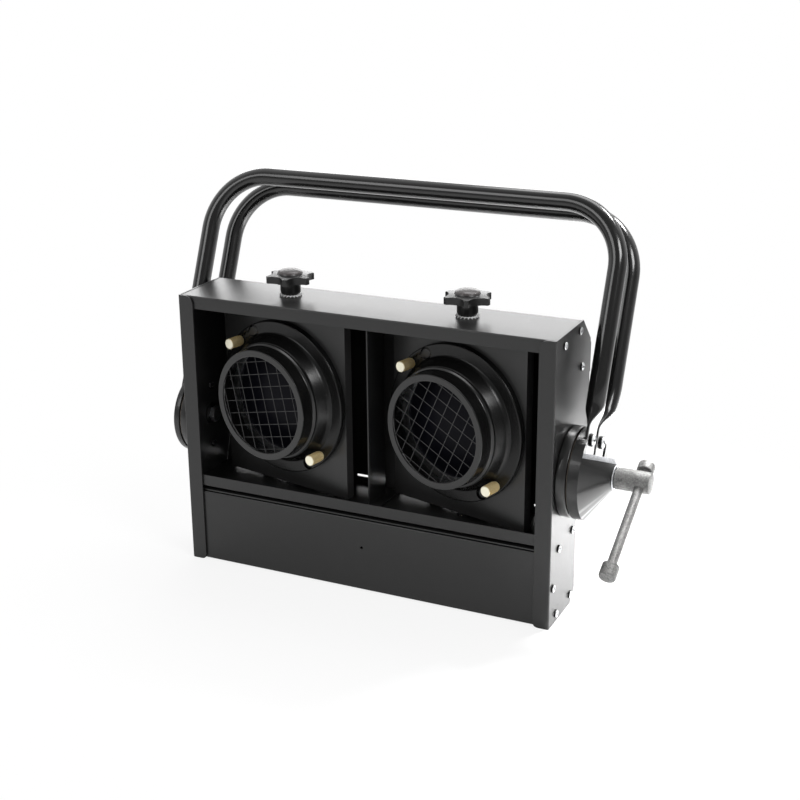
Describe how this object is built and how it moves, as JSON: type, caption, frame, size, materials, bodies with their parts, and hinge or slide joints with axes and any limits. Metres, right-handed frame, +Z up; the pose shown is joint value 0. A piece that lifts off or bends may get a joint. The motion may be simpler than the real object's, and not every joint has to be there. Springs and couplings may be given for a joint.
{
  "type": "audience blinder light",
  "caption": "Stage floodlight with sealed-beam lamps that pan behind round snouts and wire guards, in a folded housing on a double tube yoke with a T-bar tilt clutch.",
  "frame": {"origin": "centre of the flat underside that the housing stands on", "axes": "+X to the right seen from the front (the T-bar's side), +Y to the back, +Z up"},
  "size_m": [0.5143, 0.2347, 0.3996],
  "materials": {
    "satin_black": "satin",
    "gloss_black_tube": "gloss",
    "black_aluminium": "gloss",
    "zinc": "satin",
    "plain_steel": "satin",
    "brass": "polished",
    "black_plastic": "gloss",
    "nylon": "matte",
    "fibre": "matte",
    "silicone": "matte",
    "lamp_glass": "gloss"
  },
  "bodies": {
    "housing": {"side_plate_left": "satin_black", "side_plate_right": "satin_black", "top_cover": "satin_black", "rear_panel": "satin_black", "lamp_shelf": "satin_black", "front_panel": "satin_black", "bottom_cover": "satin_black", "divider": "satin_black", "clutch_drum": "black_aluminium", "pivot_drum": "black_aluminium", "terminal_block": "nylon", "cable_gland": "black_plastic", "friction_pad_right": "fibre", "friction_pad_left": "fibre", "pan_bush_left": "nylon", "pan_bush_right": "nylon", "pivot_pin_left": "zinc", "pivot_pin_right": "zinc", "pivot_bolt": "zinc", "pivot_nut": "zinc"},
    "yoke": {"yoke_tube_front": "gloss_black_tube", "yoke_tube_rear": "gloss_black_tube", "clutch_cone": "black_aluminium", "arm_wedge": "zinc", "pivot_disc": "black_aluminium", "tube_bolt_left_front": "zinc", "tube_bolt_left_rear": "zinc", "tube_bolt_right_front": "zinc", "tube_bolt_right_rear": "zinc"},
    "clutch_washer": {"thrust_washer": "zinc"},
    "clutch_spindle": {"clutch_spindle": "plain_steel"},
    "t_bar": {"t_bar": "plain_steel", "bar_cap_near": "plain_steel", "bar_cap_far": "plain_steel"},
    "lamp_left": {"lamp_frame_left": "satin_black", "lamp_gasket_left": "silicone", "par_lamp_left": "lamp_glass", "lamp_retainer_left": "zinc"},
    "ring_left": {"lamp_ring_left": "satin_black", "snout_left": "satin_black", "wire_guard_left": "gloss_black_tube", "guard_clip_left": "plain_steel"},
    "pan_knob_left": {"pan_knob_left": "black_plastic", "knob_stud_left": "zinc", "lock_washer_left": "zinc"},
    "thumbscrew_left_upper": {"thumbscrew_left_upper": "brass"},
    "thumbscrew_left_lower": {"thumbscrew_left_lower": "brass"},
    "lamp_right": {"lamp_frame_right": "satin_black", "lamp_gasket_right": "silicone", "par_lamp_right": "lamp_glass", "lamp_retainer_right": "zinc"},
    "ring_right": {"lamp_ring_right": "satin_black", "snout_right": "satin_black", "wire_guard_right": "gloss_black_tube", "guard_clip_right": "plain_steel"},
    "pan_knob_right": {"pan_knob_right": "black_plastic", "knob_stud_right": "zinc", "lock_washer_right": "zinc"},
    "thumbscrew_right_upper": {"thumbscrew_right_upper": "brass"},
    "thumbscrew_right_lower": {"thumbscrew_right_lower": "brass"}
  },
  "joints": [
    {"name": "yoke_tilt", "type": "hinge", "parent": "housing", "child": "yoke", "pos_m": [0, 0.01445, 0.148], "axis": [1, 0, 0], "range_deg": [-91, 138]},
    {"name": "clutch_travel", "type": "slide", "parent": "housing", "child": "clutch_washer", "axis": [1, 0, 0], "range_m": [0, 0.0018]},
    {"name": "clutch_turn", "type": "hinge", "parent": "clutch_washer", "child": "clutch_spindle", "pos_m": [0, 0.01445, 0.148], "axis": [1, 0, 0], "range_deg": [0, 360]},
    {"name": "bar_slide", "type": "slide", "parent": "clutch_spindle", "child": "t_bar", "axis": [0, 0.8746, 0.4848], "range_m": [-0.0015, 0.088]},
    {"name": "lamp_pan_left", "type": "hinge", "parent": "housing", "child": "lamp_left", "pos_m": [-0.096, 0.01095, 0.1872], "axis": [0, 0, 1], "range_deg": [-6, 30]},
    {"name": "ring_twist_left", "type": "hinge", "parent": "lamp_left", "child": "ring_left", "pos_m": [-0.096, 0.01095, 0.1872], "axis": [-0.2079, -0.9781, 0], "range_deg": [0, 17]},
    {"name": "knob_turn_left", "type": "hinge", "parent": "lamp_left", "child": "pan_knob_left", "pos_m": [-0.096, 0.01095, 0.3], "axis": [0, 0, 1], "range_deg": [0, 360]},
    {"name": "thumbscrew_turn_left_upper", "type": "hinge", "parent": "lamp_left", "child": "thumbscrew_left_upper", "pos_m": [-0.15086, 0.00114, 0.23882], "axis": [-0.2079, -0.9781, 0], "range_deg": [0, 360]},
    {"name": "thumbscrew_turn_left_lower", "type": "hinge", "parent": "lamp_left", "child": "thumbscrew_left_lower", "pos_m": [-0.04988, -0.02032, 0.13558], "axis": [-0.2079, -0.9781, 0], "range_deg": [0, 360]},
    {"name": "lamp_pan_right", "type": "hinge", "parent": "housing", "child": "lamp_right", "pos_m": [0.096, 0.01095, 0.1872], "axis": [0, 0, 1], "range_deg": [-3.5, 32.5]},
    {"name": "ring_twist_right", "type": "hinge", "parent": "lamp_right", "child": "ring_right", "pos_m": [0.096, 0.01095, 0.1872], "axis": [-0.2504, -0.9681, 0], "range_deg": [0, 17]},
    {"name": "knob_turn_right", "type": "hinge", "parent": "lamp_right", "child": "pan_knob_right", "pos_m": [0.096, 0.01095, 0.3], "axis": [0, 0, 1], "range_deg": [0, 360]},
    {"name": "thumbscrew_turn_right_upper", "type": "hinge", "parent": "lamp_right", "child": "thumbscrew_right_upper", "pos_m": [0.04077, 0.00354, 0.23882], "axis": [-0.2504, -0.9681, 0], "range_deg": [0, 360]},
    {"name": "thumbscrew_turn_right_lower", "type": "hinge", "parent": "lamp_right", "child": "thumbscrew_right_lower", "pos_m": [0.14072, -0.02231, 0.13558], "axis": [-0.2504, -0.9681, 0], "range_deg": [0, 360]}
  ],
  "couplings": [
    {"joint": "clutch_travel", "follows": "clutch_turn", "m_per_rad": 0.00027852}
  ]
}
